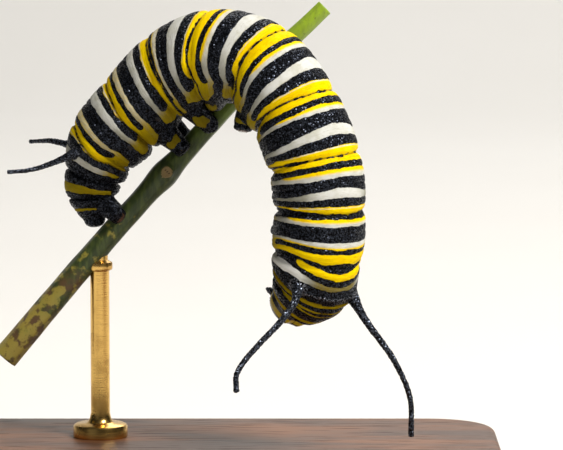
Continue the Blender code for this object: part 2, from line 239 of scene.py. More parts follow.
def stem_place(v, w):
    """The stem's surface, with how far it lies in a cut end, its height along the stem, and its scars."""
    cap = 0.03  # share of the sheet that closes each end
    t = max(0.0, min(1.0, (v - cap) / (1 - 2 * cap)))
    inward = max(cap - v, v - 1 + cap, 0.0) / cap
    along = (stem_point(min(1.0, t + 0.01)) - stem_point(max(0.0, t - 0.01))).normalized()
    side = along.cross(Vector((0, 1, 0))).normalized()
    angle = 2 * pi * w
    outward = cos(angle) * side + sin(angle) * along.cross(side)
    middle = stem_point(t)
    ridges = 0.012 * MM * sin(9 * angle + 6 * t)
    rough = noise.noise(middle / (1.6 * MM) + outward * 1.4) * 0.03 * MM
    # two opposite scars: shields with a raised rim and three vein ends in a row
    beside, above = ((w * 2) % 1 - 0.5) / SCAR_WIDTH, (t - SCAR_AT) / SCAR_LENGTH
    from_scar = hypot(beside, above * (1.0 if above > 0 else 0.75 + 0.35 * abs(beside)))
    scar = smooth(1.1, 0.85, from_scar)
    veins = max(exp(-(((beside - x) / 0.13) ** 2) - ((above - 0.1) / 0.16) ** 2) for x in VEIN_ENDS)
    lifted = 0.1 * exp(-(((from_scar - 1.0) / 0.22) ** 2)) + 0.05 * scar
    size = (stem_radius(t) + ridges + rough + lifted * MM) * (1 - inward)
    end = 1 if v > 0.5 else -1
    dished = along * end * (-0.08 * MM) * smooth(0.1, 0.5, inward)
    return middle + outward * size + dished, smooth(0.05, 0.12, inward), t, scar + veins * scar


stalk = Finish("milkweed_stem")
cut_end, height, scar = map(stalk.mark, STEM_MARKS)
blotch = stalk.cloud(1.5 * MM, 4)
streak = stalk.cloud(0.3 * MM, 2, (1, 1, 0.25))
# The green darkens from the top down: partly the stem's own colour and partly painted shade on its lower
# part.
green = stalk.mix((height + blotch * 0.25).step(0.6, 1.1), colour(44, 58, 20), colour(150, 180, 34))
green = stalk.mix(streak.step(0.35, 0.75) * 0.35, green, colour(108, 122, 50))
bruise = (blotch - height * 0.9).step(0.28, 0.5)
green = stalk.mix(bruise * 0.85, green, colour(92, 62, 34))
yellowed = (stalk.cloud(0.7 * MM, 3) - height * 0.8).step(0.33, 0.45)
green = stalk.mix(yellowed * 0.6, green, colour(176, 160, 62))
scar_tint = stalk.mix(scar.step(1.3, 1.7), colour(146, 122, 78), colour(64, 42, 26))
green = stalk.mix(scar.step(0.35, 0.7) * 0.9, green, scar_tint)
green = stalk.mix(stalk.cloud(0.12 * MM, 1).step(0.66, 0.74) * 0.5, green, colour(60, 42, 26))
green = stalk.mix(cut_end, green, stalk.mix(blotch, colour(196, 196, 140), colour(168, 160, 96)))
stalk.set({"Base Color": green, "Roughness": 0.42 + blotch * 0.2,
           "Sheen Weight": 0.25, "Sheen Roughness": 0.4})
stalk.bump(0.03 * streak + 0.02 * blotch)
add_piece("milkweed_perch", rolled(300, 72, stem_place, STEM_MARKS), stalk, "green_stem", "perch_stem")


# The rod is turned brass with a round foot screwed down on the base, and a small collar where it enters
# the stem from below. It is polished, with fine lathe marks round it and a little tarnish in patches.
ROD_FOOT_HEIGHT, ROD_ON_STEM, ROD_STEPS = 1.0 * MM, 0.28, 48

brass = Finish("turned_brass")
tarnish = brass.cloud(1.6 * MM, 4)
turning = brass.cloud(0.08 * MM, 1, (0.05, 0.05, 1))
metal = brass.mix(tarnish.step(0.45, 0.75) * 0.5, colour(226, 184, 104), colour(150, 108, 56))
brass.set({"Base Color": metal, "Metallic": 1.0, "Roughness": 0.18 + tarnish * 0.16})
brass.bump(0.008 * turning)

rod_top = stem_point(ROD_ON_STEM)
foot_low, foot_high = BASE_THICKNESS, BASE_THICKNESS + ROD_FOOT_HEIGHT
under_stem = rod_top.z - stem_radius(ROD_ON_STEM) * 1.25
# The outline of foot, rod and collar from the base up: radius in millimetres, and height
profile = [(0, foot_low), (1.94, foot_low), (2.0, foot_low + 0.06 * MM), (2.0, foot_high - 0.25 * MM),
           (1.93, foot_high - 0.1 * MM), (1.75, foot_high), (1.1, foot_high + 0.02 * MM),
           (0.92, foot_high + 0.12 * MM), (0.78, foot_high + 0.4 * MM), (0.7, foot_high + 0.8 * MM),
           (0.7, under_stem - 0.75 * MM), (0.72, under_stem - 0.7 * MM), (0.9, under_stem - 0.62 * MM),
           (0.94, under_stem - 0.5 * MM), (0.94, under_stem - 0.2 * MM), (0.9, under_stem - 0.08 * MM),
           (0.72, under_stem), (0.6, under_stem + 0.1 * MM), (0.6, rod_top.z), (0, rod_top.z)]
bm = bmesh.new()
line = [bm.verts.new((rod_top.x + radius * MM, rod_top.y, z)) for radius, z in profile]
edges = [bm.edges.new(pair) for pair in zip(line, line[1:])]
bmesh.ops.spin(bm, geom=line + edges, cent=(rod_top.x, rod_top.y, 0), axis=(0, 0, 1), angle=2 * pi,
               steps=ROD_STEPS, use_merge=True)
bmesh.ops.remove_doubles(bm, verts=bm.verts, dist=WELD)
rod = add_piece("stand_rod_brass", bm, brass, "brass", "stand_rod")
rod.data.set_sharp_from_angle(angle=radians(35))


# The larva's skin is one soft, tight tube over all thirteen segments, folded between them and creased
# across each into smaller rings. The feet of the belly are drawn out of it. It is banded black, white
# and yellow, and the black is set with fine shining grains.

# The front of each segment: its middle and radius in millimetres, and how far the back is turned to the side
# and the fold leans, in degrees
SEGMENTS = [
    ((6.19, -0.22, 13.32), 2.0, 33, 0), ((7.07, -0.89, 14.62), 2.92, 33, 2),
    ((7.52, -1.4, 16.96), 3.3, 34, 3), ((7.73, -1.47, 20.31), 3.35, 30, 3),
    ((7.38, -1.15, 23.7), 3.4, 29, 2), ((5.9, -0.1, 27.25), 3.42, 54, 0),
    ((3.4, 1.45, 30.3), 3.5, 70, 6), ((-0.25, 3.2, 30.9), 3.52, 76, 10),
    ((-3.4, 4.75, 29.25), 3.35, 80, 12), ((-5.95, 5.25, 26.5), 3.2, 84, 10),
    ((-7.95, 5.45, 24.3), 2.85, 85, 8), ((-8.6, 5.6, 22.15), 2.3, 85, 4),
    ((-8.8, 5.6, 20.55), 1.85, 85, 0), ((-8.55, 5.45, 19.0), 0.9, 85, 0)]
# How far the skin is drawn in at a fold, on the back and on the belly, and how flat the belly is
PINCH_BACK, PINCH_BELLY, BELLY_FLAT = 0.035, 0.175, 0.06
BELLY_AT = 138  # degrees off the back where the black of the belly begins
MIDDLES = [Vector(row[0]) * MM for row in SEGMENTS]
RADII = [row[1] * MM for row in SEGMENTS]
TURNS = [float(row[2]) for row in SEGMENTS]
LEANS = [float(row[3]) for row in SEGMENTS]
LAST = len(SEGMENTS) - 1
TAILWARDS = [(MIDDLES[min(i + 1, LAST)] - MIDDLES[max(i - 1, 0)]).normalized() for i in range(LAST + 1)]


def square_to(direction, vector):
    """The direction nearest to a vector that is square to another direction."""
    return (vector - vector.dot(direction) * direction).normalized()


@functools.cache
def section(u):
    """The body's middle at u, with its tailward, back and right-hand directions, its radius and its lean."""
    tailward = curve_value(TAILWARDS, u).normalized()
    front = square_to(tailward, Vector((0, -1, 0)))
    turn = radians(curve_value(TURNS, u))
    back = cos(turn) * front + sin(turn) * tailward.cross(front)
    lean = tan(radians(curve_value(LEANS, u)))
    return curve_value(MIDDLES, u), tailward, back, back.cross(tailward), curve_value(RADII, u), lean


def body_point(u, degrees, fatter=0.0, share=1.0):
    """A point of the body's surface, at u along it and so many degrees from the back towards the right."""
    middle, tailward, back, right, radius, lean = section(u)
    aside, up = sin(radians(degrees)), cos(radians(degrees))
    from_middle = abs(2 * (u - floor(u)) - 1) if u < LAST else 1.0
    pinch = (PINCH_BACK + (PINCH_BELLY - PINCH_BACK) * (1 - up) / 2) * from_middle**6
    size = radius * (1 - pinch) * (1 - BELLY_FLAT * max(0.0, -up) ** 2)
    size = (size + fatter) * share
    return middle + size * (up * back + aside * right) - lean * size * up * tailward


def skin_point(s, degrees, fatter):
    """As body_point, with the neck tucked in below 0 and the rump rounded off beyond the last section."""
    if s < 0:
        tucked = -s
        return (body_point(0.0, degrees, fatter, 1 - tucked**2.2)
                - section(0.0)[1] * 0.22 * MM * sin(pi * tucked))
    if s > LAST:
        past = (s - LAST) * pi / 2
        return body_point(float(LAST), degrees, fatter, cos(past) ** 0.8 if past < pi / 2 else 0.0) + (
            section(float(LAST))[1] * 0.65 * RADII[-1] * sin(past))
    return body_point(s, degrees, fatter)


# How far each fold lies behind the front of its segment, as a share of it: at the back, 50 degrees off it and
# 100 degrees off it
FOLDS = [(0, 0, 0), (0.14, 0.22, 0.45), (0.03, 0.147, 0.16), (0, 0.04, 0.1), (-0.02, 0.01, 0.08),
         (-0.05, 0, 0.055), (0, 0.045, -0.12), (0, 0.065, -0.1), (-0.06, -0.1, -0.2), (-0.04, 0.03, 0.04),
         (0.02, 0.18, 0.22), (0, 0.05, 0.1), (0, 0, 0), (0, 0, 0)]
# Black bars of each ringed segment: front and rear edge as shares of the segment, at the back and 60 degrees
# off it, and the angle where the bar ends on the flank
BARS = {
    2: [(0.27, 0.37, 0.18, 0.29, 100), (0.50, 0.785, 0.40, 0.72, 180), (0.92, 1.0, 0.86, 0.99, 180)],
    3: [(0.15, 0.30, 0.10, 0.227, 112), (0.47, 0.645, 0.32, 0.60, 180), (0.80, 0.905, 0.755, 0.865, 106)],
    4: [(0.15, 0.32, 0.12, 0.245, 112), (0.485, 0.69, 0.36, 0.667, 180), (0.80, 0.905, 0.755, 0.865, 106)],
    5: [(0.16, 0.32, 0.12, 0.25, 112), (0.48, 0.65, 0.38, 0.61, 180), (0.75, 0.83, 0.725, 0.81, 106)],
    6: [(0.13, 0.28, 0.10, 0.23, 112), (0.45, 0.65, 0.36, 0.58, 180), (0.75, 0.83, 0.71, 0.80, 106)],
    7: [(0.12, 0.30, 0.13, 0.33, 112), (0.52, 0.77, 0.53, 0.80, 180), (0.87, 0.957, 0.89, 0.965, 106)],
    8: [(0.15, 0.28, 0.15, 0.285, 112), (0.43, 0.69, 0.42, 0.67, 180), (0.80, 0.88, 0.78, 0.86, 106)],
    9: [(0.10, 0.22, 0.03, 0.14, 112), (0.42, 0.67, 0.29, 0.60, 180), (0.80, 0.91, 0.71, 0.83, 106)],
    10: [(0.17, 0.44, 0.06, 0.33, 150), (0.655, 1.0, 0.56, 1.0, 180)],
    11: [(-0.01, 0.36, -0.01, 0.36, 180), (0.72, 1.0, 0.72, 1.0, 180)],
    12: [(-0.01, 0.42, -0.01, 0.42, 180), (0.58, 1.2, 0.58, 1.2, 180)],
}
# Pale bands of the first two segments, which are black between them: front and rear edge, at the back and
# 60 degrees off it, the angle where the band ends, and how white it is, 0 for yellow and above 1 for painted
# light that brightens the band past its pale colour
BANDS = {
    0: [(0.06, 0.19, 0.07, 0.27, 150, 0.0), (0.535, 0.59, 0.685, 0.75, 128, 0.0),
        (0.712, 0.757, 0.742, 0.80, 128, 0.0), (0.90, 1.03, 0.905, 1.03, 128, 0.0)],
    1: [(0.433, 0.543, 0.4875, 0.696, 128, 1.4), (0.695, 0.879, 0.8025, 0.963, 60, 0.0)],
}
# For each ringed segment, how white its two pale bands between the bars are, how far all its pale ground is
# dulled towards olive, painted shade that is strongest at the rump, and the angle off the back where the
# first pale band starts to turn duller, partly its own colour and partly painted shade on the flank
PALE_BANDS = {2: (0.8, 0.75, 0, 75), 3: (0.9, 0.8, 0, 22), 4: (1, 0.8, 0, 62), 5: (1, 0.8, 0, 66),
              6: (1, 0.72, 0, 66), 7: (1, 0.65, 0.1, 64), 8: (0.95, 0.58, 0.2, 62), 9: (0.95, 0.54, 0.25, 62),
              10: (0.75, 0, 0.35, 66), 11: (0.05, 0, 1.0, 66), 12: (0.1, 0, 1.0, 66)}
# Half the width of the black line in each fold at the back, in millimetres, where it breaks up into dashes
SEAMS = [0.05, 0.03, 0.03, 0.03, 0.03, 0.04, 0.055, 0.085, 0.085, 0.06, 0.06, 0.05, 0.05, 0.05]


def off_back(trio, degrees):
    """A value given at the back, 50 and 100 degrees off it, at any angle."""
    a = (min(abs(degrees), 105) / 50) ** 2
    return trio[0] * (a - 1) * (a - 4) / 4 - trio[1] * a * (a - 4) / 3 + trio[2] * a * (a - 1) / 12


def edge_at(back, side, degrees):
    """A bar's edge at any angle, from its places at the back and 60 degrees off it."""
    return back + (side - back) * 1.45 * (1 - exp(-1.17 * (degrees / 60) ** 2))


@functools.cache
def ring_length(i, degrees):
    """How long a segment is on the surface, in millimetres, at an angle rounded to 10 degrees."""
    return max(0.5, (body_point(float(i + 1), degrees) - body_point(float(i), degrees)).length / MM)


def bar_depth(q, low, high, length, past_end):
    """How far inside a bar with a rounded end a place lies, in millimetres, negative outside it."""
    half = (high - low) / 2 * length
    return half - hypot((q - (low + high) / 2) * length, max(0.0, past_end + half))


def markings(s, degrees, point):
    """What the skin bears at a place: how deep in black it lies and how deep it is creased, in millimetres,
    and how white its pale ground is and how far it is dulled towards olive, from 0 to about 1. The dulling
    is partly the ground's own colour and partly painted shade; whiteness above 1 is painted light."""
    u = max(0.0, min(float(LAST), s))
    i = min(int(u), LAST - 1)
    while i > 0 and u < i + off_back(FOLDS[i], degrees):
        i -= 1
    while i < LAST - 1 and u >= i + 1 + off_back(FOLDS[i + 1], degrees):
        i += 1
    front, rear = i + off_back(FOLDS[i], degrees), i + 1 + off_back(FOLDS[i + 1], degrees)
    q = (u - front) / (rear - front)
    length = ring_length(i, round(degrees, -1)) * (rear - front)
    radius = section(u)[4] / MM
    off = abs(degrees)
    wander = noise.noise(point / (1.1 * MM))
    ripple = noise.noise(point / (0.35 * MM))
    fold = (min(q, 1 - q) if 0 < i < LAST - 1 else 1 - q if i == 0 else abs(q)) * length
    crease = 0.13 * exp(-((fold / 0.1) ** 2)) + 0.05 * exp(-((fold / 0.3) ** 2))
    # Here and below, the pale ground dulls towards olive on the flanks: partly its own colour and partly
    # painted shade.
    white, dark, grooves, dull_and_shade, dulling_and_shade = 0.0, -1.0, [], smooth(64, 122, off - 18 * (i == 1)), 0.0
    if i in BANDS:
        for low, high, low_side, high_side, end, pallor in BANDS[i]:
            low, high = edge_at(low, low_side, degrees), edge_at(high, high_side, degrees)
            inside = bar_depth(q, low, high, length, radians(off - end) * radius)
            # The bands of the first segment are dulled by 0.9 towards olive, as painted shade. The white
            # crescent of the second segment is dulled and less white towards the back.
            if inside > dark:
                dark, white, dulling_and_shade = inside, pallor, 0.9 * (1 - i)
                if pallor > 0:
                    white, dulling_and_shade = pallor - 0.95 * smooth(62, 22, off), smooth(62, 22, off)
            grooves += [(low, 0.06), (high, 0.06)]
        dark, dull_and_shade = -dark, max(dull_and_shade, dulling_and_shade)
    else:
        bars = []
        wider = smooth(60, 105, off)
        for k, (low, high, low_side, high_side, end) in enumerate(BARS[i]):
            low, high = edge_at(low, low_side, degrees), edge_at(high, high_side, degrees)
            spread = (0.15, 0.0, 0.3)[k] * wider * (high - low)
            dark = max(dark, bar_depth(q, low - spread, high + spread, length, radians(off - end) * radius))
            bars.append((low, high))
            grooves += [(low, 0.065), (high, 0.055)]
        grooves.append(((bars[1][0] + bars[1][1]) / 2, 0.1))
        # The segment's own dulling of its pale ground, strongest at the rump, is painted shade.
        first, second, dulling_and_shade, turning = PALE_BANDS[i]
        dull_and_shade = max(dull_and_shade, dulling_and_shade)
        if bars[0][1] - 0.03 < q < bars[1][0] + 0.03:
            white = first * (1 - 0.75 * smooth(88, 125, off))
            dull_and_shade = max(dull_and_shade, 0.75 * smooth(turning, turning + 36, off))
            if i == 2:
                white *= smooth(0.0, 0.22, (q - bars[0][1]) * length)
        elif len(bars) > 2 and bars[1][1] - 0.03 < q < bars[2][0] + 0.03:
            flank, headward = smooth(62, 88, off), (bars[2][0] - q) / (bars[2][0] - bars[1][1])
            even = max(flank, smooth(5.5, 8, i))
            whiter = smooth(0.1 - 0.5 * even, 0.75 - 0.6 * even, headward)
            white = second * whiter * (1 - 0.5 * smooth(88, 118, off))
            dull_and_shade = max(dull_and_shade, 0.6 * flank)
        elif 0 < q < bars[0][0] and i > 2:
            white = 0.75 * smooth(0.22, 0.04, (bars[0][0] - q) * length) * (1 - smooth(50, 90, off))
        if i == 2:
            dark = max(dark, 0.4 * (1 - ((degrees + 1) / 25) ** 2) - q * length)
    if i == 1:
        dark = max(dark, 0.38 * (1 - ((degrees + 1) / 25) ** 2) - (1 - q) * length)
    # On the flanks every fold carries an unbroken black line, partly its own mark and partly painted shade of
    # the fold; towards the back it breaks into dashes.
    dashes = smooth(24, 42, off)
    seam = SEAMS[i if q < 0.5 else i + 1]
    line = 0.08 * dashes + (seam + (0.22 - 2 * seam) * ripple) * (1 - dashes) + 0.03 * wander - fold
    if not (i == 9 and fold < 0.3) and not (i == 0 and q > 0.5):
        dark = max(dark, line)
    belly = BELLY_AT + 10 * cos(2 * pi * q) + 8 * wander + 3 * ripple
    dark = max(dark, radians(off - belly) * radius)
    for place, depth in grooves:
        away = (q - place) * length + 0.05 * wander
        crease += depth * (0.75 + 0.8 * wander) * exp(-((away / 0.075) ** 2))
    dark += (0.08 * wander + 0.045 * ripple) * (1.0 if i > 0 else 0.4)
    crease += 0.012 * ripple + 0.03 * wander
    return dark, crease, white, dull_and_shade


# The feet of the belly: place along the body, degrees off the back, and how far round the stem the right and
# left foot reach. The first pair has let go of the stem. The last pair are the claspers at the rump.
PROLEG_RADIUS, CLASPER_RADIUS, FOOT_OUT = 0.8 * MM, 0.75 * MM, 0.42 * MM
FREE_FOOT_OUT, FREE_FOOT_FORWARD = 0.65 * MM, 0.55 * MM
FEET_FROM, GRIP_FROM, CLASPERS_FROM = 4.5, 6, 12  # places along the body
PROLEGS = [(5.5, 156, None, None), (6.5, 156, 50, 0), (7.5, 156, 50, 40), (8.5, 156, 50, 45),
           (12.45, 138, 60, 60)]
# A foot's shape: shares of the way from its rim on the belly to the middle of its sole, each with the share
# of the way out and the share of its radius there
FOOT_PROFILE = [(0.0, 0.0, 1.25), (0.12, 0.1, 1.08), (0.25, 0.3, 0.98), (0.38, 0.5, 0.92),
                (0.48, 0.64, 0.83), (0.56, 0.74, 0.85), (0.66, 0.88, 0.85), (0.76, 1.0, 0.76),
                (0.86, 1.08, 0.58), (0.94, 1.11, 0.32), (1.0, 1.12, 0.0)]
STEM_STEPS = 200
STEM_PLACES = [(stem_point(k / STEM_STEPS), k / STEM_STEPS) for k in range(STEM_STEPS + 1)]


def nearest_on_stem(point):
    return min(STEM_PLACES, key=lambda place: (place[0] - point).length_squared)


def stem_foothold(root, aside, reach):
    """The middle of a foot that starts at root and goes round the stem by an angle, towards aside."""
    middle, t = nearest_on_stem(root)
    along = (stem_point(t + 0.02) - stem_point(t - 0.02)).normalized()
    facing = square_to(along, root - middle)
    around = along.cross(facing)
    if around.dot(aside) < 0:
        around.negate()
    return middle + (cos(reach) * facing + sin(reach) * around) * (stem_radius(t) + FOOT_OUT)


# Each foot: its root, the directions across, along and outward there, its sole, its radius, its side of the
# body and its place along the body
FEET = []
for u, angle, *reaches in PROLEGS:
    middle, tailward, _, right, _, _ = section(u)
    for turn, reach in zip((1, -1), reaches):
        root = body_point(u, turn * angle)
        foot = root + (root - middle).normalized() * FREE_FOOT_OUT - tailward * FREE_FOOT_FORWARD
        if reach is not None:
            foot = stem_foothold(root, right * turn, radians(reach))
        beside = (body_point(u, turn * angle + 4) - body_point(u, turn * angle - 4)).normalized()
        behind = body_point(min(u + 0.1, 12.9), turn * angle) - body_point(u - 0.1, turn * angle)
        behind = square_to(beside, behind)
        out = beside.cross(behind)
        if out.dot(root - middle) < 0:
            out.negate()
        size = CLASPER_RADIUS if u > CLASPERS_FROM else PROLEG_RADIUS
        FEET.append((root, beside, behind, out, foot, size, turn, u))

# The black knobs that carry the two pairs of filaments: place on the body, width and height in millimetres
KNOBS = [(1.45, 52, 0.62, 0.3), (1.28, -46, 0.62, 0.3), (10.5, 42, 0.45, 0.16), (10.5, -42, 0.45, 0.16)]
KNOB_POINTS = [(body_point(u, degrees), width, height) for u, degrees, width, height in KNOBS]
RIDGE_AT, RIDGE_HEIGHT = 1.33, 0.13 * MM  # the low black ridge that joins the front pair

NECK, RUMP, ROWS, SIDES = 0.55, 1.6, 430, 148
ring_weights = [NECK] + [(MIDDLES[i + 1] - MIDDLES[i]).length / MM + 1.2 for i in range(LAST)] + [RUMP]
ring_ends = [sum(ring_weights[:k]) / sum(ring_weights) for k in range(len(ring_weights) + 1)]


def station(v):
    """The place along the body for a share of the sheet, denser where the segments are short."""
    k = max(j for j in range(len(ring_weights)) if v >= ring_ends[j] - 1e-9)
    return k - 1 + min(1.0, (v - ring_ends[k]) / (ring_ends[k + 1] - ring_ends[k]))


def drawn_out(point, foot_row):
    """Where a foot draws a point of the belly to, and how near the point is to its sole, from 0 to 1."""
    root, beside, behind, out, foot, size, turn, u = foot_row
    offset = point - root
    a, b = offset.dot(beside), offset.dot(behind)
    reach = hypot(a, b)
    rim = FOOT_PROFILE[0][2] * size
    if reach > rim or offset.dot(out) < -0.9 * MM:
        return None
    t = 1 - reach / rim
    k = max(j for j in range(len(FOOT_PROFILE) - 1) if t >= FOOT_PROFILE[j][0])
    (t0, s0, r0), (t1, s1, r1) = FOOT_PROFILE[k], FOOT_PROFILE[k + 1]
    share = (t - t0) / (t1 - t0)
    s, radius = s0 + (s1 - s0) * share, (r0 + (r1 - r0) * share) * size
    way = foot - root
    axis = out.lerp(way.normalized(), smooth(0.0, 0.8, s)).normalized()
    level = square_to(axis, beside)
    other = (behind - behind.dot(axis) * axis - behind.dot(level) * level).normalized()
    around = (level * a + other * b) / max(reach, 1e-9)
    pulled = root + way * s + around * radius
    pulled = point.lerp(pulled, smooth(0.0, 0.22, t))
    middle, place = nearest_on_stem(pulled)
    away = pulled - middle
    clear = stem_radius(place) + 0.02 * MM
    if away.length < clear + 0.9 * MM:  # a foot that holds the stem bends its sole against it
        away *= 1 - 0.3 * MM * smooth(0.6, 1.05, s) / away.length
    if away.length < clear:
        away = away.normalized() * clear
    return middle + away, s, -(a * turn) / max(reach, 1e-9)


def skin_place(v, w):
    """The skin's surface, with its markings, its soles, and how brightly the black grains shine there: more
    on the knobs and on the ridge between the front ones, and less on the feet."""
    s, degrees = station(v), 360 * w - 180
    point = skin_point(s, degrees, 0.0)
    dark, crease, white, dull_and_shade = markings(s, degrees, point)
    point = skin_point(s, degrees, -crease * MM)
    sole, spark = 0.0, 0.5
    if s > 0.9 and (abs(degrees) < 90 or s > 11):
        for knob, width, height in KNOB_POINTS:
            near = (point - knob).length / MM
            if near < 2 * width:
                outward = (point - section(min(s, float(LAST)))[0]).normalized()
                point = point + outward * height * MM * exp(-((near / width) ** 2))
                dark = max(dark, width * 0.95 - near)
                spark = max(spark, smooth(1.8 * width, 0.8 * width, near))
        if 0.9 < s < 2:
            ridge = s - (RIDGE_AT + 0.0012 * abs(degrees - 5))
            outward = (point - section(s)[0]).normalized()
            height = exp(-((ridge / 0.05) ** 2)) * smooth(66, 46, abs(degrees - 3))
            point, spark = point + outward * RIDGE_HEIGHT * height, max(spark, height)
    if abs(degrees) > 90 and s > FEET_FROM:
        for row in FEET:
            if abs(row[7] - s) < 1.0:
                found = drawn_out(point, row)
                if found:
                    point, out, outer = found
                    from_spot = hypot((out - 0.42) * 1.3, (1 - outer) * 0.7)
                    spot = 0.2 + 0.14 * noise.noise(point / (0.4 * MM)) - from_spot
                    dark = max(dark, smooth(0.0, 0.2, out) * 0.3)
                    dark = dark if row[7] > CLASPERS_FROM else min(dark, -spot * 1.5)
                    # The pale spots of the feet are dulled past full olive: painted shade.
                    white, dull_and_shade, spark = 0.25, 1.12, 0.25
                    bare = row[7] < GRIP_FROM or (nearest_on_stem(point)[0] - point).length < 1.1 * MM
                    sole = smooth(1.07, 1.115, out) if bare else 0.0
    return point, dark, white, dull_and_shade, sole, crease, spark, v * sum(ring_weights)


def refine_feet(bm):
    """Cuts the squares of the sheet finer wherever a foot will be drawn out of it."""
    def near_foot(vert):
        s, degrees = station(vert.co.x + 0.5), 360 * (vert.co.y + 0.5) - 180
        if s < FEET_FROM or abs(degrees) < 90:
            return False
        point = skin_point(s, degrees, 0.0)
        return any((point - row[0]).length < 1.3 * row[5] for row in FEET)
    chosen = {v for v in bm.verts if near_foot(v)}
    edges = [e for e in bm.edges if e.verts[0] in chosen and e.verts[1] in chosen]
    bmesh.ops.subdivide_edges(bm, edges=edges, cuts=2, use_grid_fill=True)


GRAIN = 0.11 * MM  # the width of one of the fine grains that stud everything black
SKIN_MARKS = ("dark", "white", "dull_and_shade", "sole", "crease", "spark", "along")
skin = Finish("banded_skin")
dark, white, dull_and_shade, sole, crease, spark, along = map(skin.mark, SKIN_MARKS)
fray = skin.cloud(0.14 * MM, 2) - 0.5
black = (dark + fray * 0.08).step(-0.025, 0.025)
mottle = skin.cloud(0.9 * MM, 3)
around = skin.node("CombineXYZ", {}, {0: along * 8, 1: skin.cloud(0.8 * MM) * 5, 2: skin.cloud(1.3 * MM) * 5})
wrinkle = skin.node("TexNoise", {}, {"Vector": around, "Scale": 1.0, "Detail": 2.0})
yellow = skin.mix(mottle.step(0.3, 0.7), colour(250, 216, 0), colour(242, 200, 0))
# The fine wrinkles are tinted to follow their relief: brighter yellow on the crests, a painted highlight, and
# darker in the troughs, painted shade; the pale ground is darkened in the troughs too.
yellow = skin.mix(wrinkle.step(0.5, 0.75) * 0.35, yellow, colour(255, 222, 10))
yellow = skin.mix((1 - wrinkle.step(0.28, 0.46)) * 0.4, yellow, colour(190, 140, 2))
pale = skin.mix(mottle.step(0.35, 0.7), colour(214, 214, 208), colour(196, 195, 182))
pale = skin.mix((1 - wrinkle.step(0.28, 0.46)) * 0.3, pale, colour(160, 154, 122))
# Painted light: whiteness above 1 brightens the pale ground to near white, on the crescent of the second
# segment.
pale = skin.mix(white.step(1.0, 1.4), pale, colour(246, 246, 240))
ground = skin.mix((white + fray * 0.35).step(0.2, 0.8), yellow, pale)
# Painted shade, partly the skin's own duller colour: the pale ground is mixed towards dark olive wherever it
# is dulled.
ground = skin.mix(dull_and_shade * 0.78, ground, colour(76, 72, 14))
# Painted shade: the skin is tinted dark brownish yellow in its creases.
ground = skin.mix(crease.step(0.06, 0.16) * 0.6, ground, colour(84, 62, 10))
glint = (1 - skin.grains(GRAIN).step(0.35, 0.65)) * black
ink = skin.mix(skin.cloud(1.2 * MM, 2), colour(3, 3, 3), colour(8, 8, 10))
ink = skin.mix(glint, ink, skin.mix(spark.step(0.5, 1.0), colour(54, 58, 67), colour(124, 128, 138)))
tint = skin.mix(black, ground, ink)
tint = skin.mix(sole * 0.9, tint, colour(112, 84, 66))
skin.set({"Base Color": tint, "Metallic": glint, "Roughness": 0.55 - glint * 0.2, "Specular IOR Level": 0.03})
skin.bump(0.045 * wrinkle * (1 - black * 0.6) + skin.facets(GRAIN) * black * (0.9 + spark * 0.4))
add_piece("banded_skin", rolled(ROWS, SIDES, skin_place, SKIN_MARKS, refine_feet), skin, "striped_skin",
          "prothorax", "mesothorax", "metathorax", *[f"abdomen_{i}" for i in range(1, 11)],
          *[f"{name}_{side}" for name in ("proleg_3", "proleg_4", "proleg_5", "proleg_6", "clasper")
            for side in ("right", "left")])


# The breathing holes are flat black ovals with a raised rim, one on each side of the collar and of the first
# eight belly segments, in the pale lower edge of the flank. Each has a hard, smooth rim set in the skin.
HOLE_WIDTH, HOLE_HEIGHT, HOLE_RISE, HOLE_SUNK = 0.15, 0.26, 0.09, 0.04  # half sizes, in millimetres
HOLE_ANGLE = 112  # degrees off the back
rim = Finish("breathing_hole_rim")
rim.set({"Base Color": rim.mix(rim.cloud(0.1 * MM, 2), colour(8, 8, 9), colour(26, 26, 28)), "Roughness": 0.3,
         "Specular IOR Level": 0.4})
bm = bmesh.new()
for u in [0.5] + [i + 0.36 for i in range(3, 11)]:
    for turn in (1, -1):
        spot = body_point(u, turn * HOLE_ANGLE)
        middle = section(u)[0]
        out = (spot - middle).normalized()
        upward = (body_point(u, turn * (HOLE_ANGLE - 4)) - spot).normalized()
        beside = out.cross(upward).normalized()
        upward = beside.cross(out)
        found = bmesh.ops.create_uvsphere(bm, u_segments=20, v_segments=12, radius=1.0)
        for vert in found["verts"]:
            a, b, c = vert.co
            dip = 0.7 * exp(-((hypot(a, b) / 0.45) ** 2)) if c > 0 else 0.0
            vert.co = spot + (beside * a * HOLE_WIDTH + upward * b * HOLE_HEIGHT
                              + out * ((c - dip) * HOLE_RISE - HOLE_SUNK)) * MM
add_piece("breathing_holes", bm, rim, "striped_skin")


